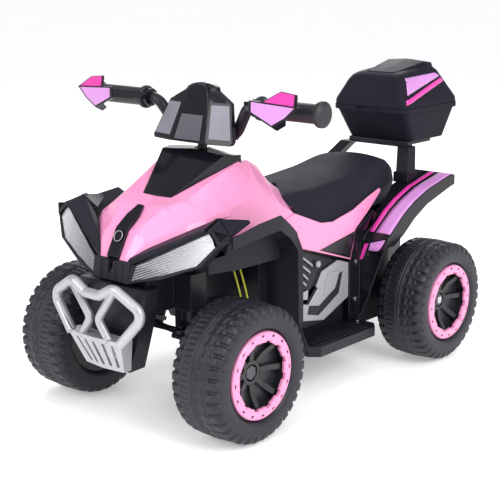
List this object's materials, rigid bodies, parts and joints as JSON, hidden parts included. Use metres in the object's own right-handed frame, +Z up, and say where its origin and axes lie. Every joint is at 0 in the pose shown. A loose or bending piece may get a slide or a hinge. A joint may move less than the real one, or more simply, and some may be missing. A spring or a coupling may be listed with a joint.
{
  "type": "kids quad bike",
  "caption": "Battery ride-on quad bike for a small child, with pink and black moulded body, lugged wheels, linked handlebar steering, foot pedal and a rear top box with a hinged lid.",
  "frame": {"origin": "on the floor, at the middle of the overall width and of the overall length from bumper to top box hinge", "axes": "+X to the rider's left, +Y to the rear, +Z up; the quad faces -Y"},
  "size_m": [0.438, 0.799, 0.46],
  "materials": {
    "pink_gloss": "gloss moulded pink",
    "black_gloss": "gloss moulded black",
    "black_matte": "satin moulded black",
    "seat_matte": "matt grained black",
    "tyre_black": "blow-moulded plastic tyre, satin",
    "silver_paint": "silver paint on plastic",
    "grey_plastic": "grey moulded, slight metallic",
    "steel": "zinc plated",
    "black_steel": "black coated steel rod",
    "grip_rubber": "ribbed rubber",
    "clear_lens": "clear moulded lens",
    "reflector": "bright metallised reflector",
    "red_plastic": "gloss red",
    "battery_case": "dark grey case",
    "cream_plastic": "natural nylon",
    "lead_yellow": "yellow-green insulated wire"
  },
  "bodies": {
    "chassis": {"chassis_tub": "black_matte", "body_shell": "pink_gloss", "hood_cowl": "black_gloss", "nose_strip": "black_gloss", "nose_emblem": "silver_paint", "front_mask": "black_gloss", "bumper": "silver_paint", "rear_axle": "steel", "rear_axle_nuts": "steel", "seat": "seat_matte", "box_bracket": "black_matte", "trunk_box": "black_gloss", "trunk_hinge_pin": "steel", "battery": "battery_case", "gearbox": "cream_plastic", "motor": "steel", "lamp_leads": "lead_yellow", "screws": "steel", "lamp_lens_left": "clear_lens", "lamp_lens_right": "clear_lens", "lamp_housing_left": "reflector", "lamp_housing_right": "reflector", "front_fender_left": "black_gloss", "front_fender_right": "black_gloss", "rear_fender_left": "black_gloss", "rear_fender_right": "black_gloss", "engine_cover_left": "grey_plastic", "engine_cover_right": "grey_plastic", "footrest_left": "black_matte", "footrest_right": "black_matte"},
    "steering": {"steering_column": "black_steel", "handlebar": "black_matte", "dash_screen": "black_gloss", "dash_panel": "grey_plastic", "grip_left": "grip_rubber", "grip_right": "grip_rubber", "handguard_left": "black_gloss", "handguard_right": "black_gloss"},
    "tie_rod": {"tie_rod": "black_matte"},
    "lid": {"trunk_lid": "black_gloss"},
    "pedal": {"accelerator_pedal": "black_matte"},
    "horn": {"horn_button": "red_plastic"},
    "power_switch": {"power_rocker": "red_plastic"},
    "direction_switch": {"direction_rocker": "red_plastic"},
    "knuckle_left": {"knuckle_left": "black_matte", "axle_bolt_left": "steel"},
    "front_wheel_left": {"front_tyre_left": "tyre_black", "front_rim_left": "black_matte", "front_ring_left": "pink_gloss"},
    "rear_wheel_left": {"rear_tyre_left": "tyre_black", "rear_rim_left": "black_matte", "rear_ring_left": "pink_gloss"},
    "knuckle_right": {"knuckle_right": "black_matte", "axle_bolt_right": "steel"},
    "front_wheel_right": {"front_tyre_right": "tyre_black", "front_rim_right": "black_matte", "front_ring_right": "pink_gloss"},
    "rear_wheel_right": {"rear_tyre_right": "tyre_black", "rear_rim_right": "black_matte", "rear_ring_right": "pink_gloss"}
  },
  "joints": [
    {"name": "steering", "type": "hinge", "parent": "chassis", "child": "steering", "pos_m": [0, -0.27353, 0.12794], "axis": [0, 0.3665, 0.9304], "range_deg": [-20, 20]},
    {"name": "tie_rod_slide", "type": "slide", "parent": "chassis", "child": "tie_rod", "axis": [1, 0, 0], "range_m": [-0.0078, 0.0078]},
    {"name": "lid_hinge", "type": "hinge", "parent": "chassis", "child": "lid", "pos_m": [0, 0.3955, 0.3881], "axis": [-1, 0, 0], "range_deg": [0, 100]},
    {"name": "accelerator", "type": "hinge", "parent": "chassis", "child": "pedal", "pos_m": [-0.113, 0.0205, 0.082], "axis": [1, 0, 0], "range_deg": [0, 8], "stiffness_Nm_per_rad": 1.2, "springref_deg": -8.59},
    {"name": "horn_press", "type": "slide", "parent": "steering", "child": "horn", "axis": [0, 0, -1], "range_m": [0, 0.0025], "stiffness_N_per_m": 250, "springref_m": -0.002},
    {"name": "power_rock", "type": "hinge", "parent": "steering", "child": "power_switch", "pos_m": [0.025, -0.1575, 0.4], "axis": [1, 0, 0], "range_deg": [-7, 7]},
    {"name": "direction_rock", "type": "hinge", "parent": "steering", "child": "direction_switch", "pos_m": [-0.025, -0.1575, 0.4], "axis": [1, 0, 0], "range_deg": [-7, 7]},
    {"name": "kingpin_left", "type": "hinge", "parent": "chassis", "child": "knuckle_left", "pos_m": [0.064, -0.272, 0.15], "axis": [0, 0, 1], "range_deg": [-20, 20]},
    {"name": "front_spin_left", "type": "hinge", "parent": "knuckle_left", "child": "front_wheel_left", "pos_m": [0.1515, -0.272, 0.095], "axis": [1, 0, 0], "continuous": true},
    {"name": "rear_spin_left", "type": "hinge", "parent": "chassis", "child": "rear_wheel_left", "pos_m": [0.1515, 0.189, 0.095], "axis": [1, 0, 0], "continuous": true},
    {"name": "kingpin_right", "type": "hinge", "parent": "chassis", "child": "knuckle_right", "pos_m": [-0.064, -0.272, 0.15], "axis": [0, 0, 1], "range_deg": [-20, 20]},
    {"name": "front_spin_right", "type": "hinge", "parent": "knuckle_right", "child": "front_wheel_right", "pos_m": [-0.1515, -0.272, 0.095], "axis": [1, 0, 0], "continuous": true},
    {"name": "rear_spin_right", "type": "hinge", "parent": "chassis", "child": "rear_wheel_right", "pos_m": [-0.1515, 0.189, 0.095], "axis": [1, 0, 0], "continuous": true}
  ],
  "couplings": [
    {"joint": "tie_rod_slide", "follows": "steering", "m_per_rad": 0.022},
    {"joint": "kingpin_left", "follows": "steering", "ratio": 1},
    {"joint": "kingpin_right", "follows": "steering", "ratio": 1}
  ]
}
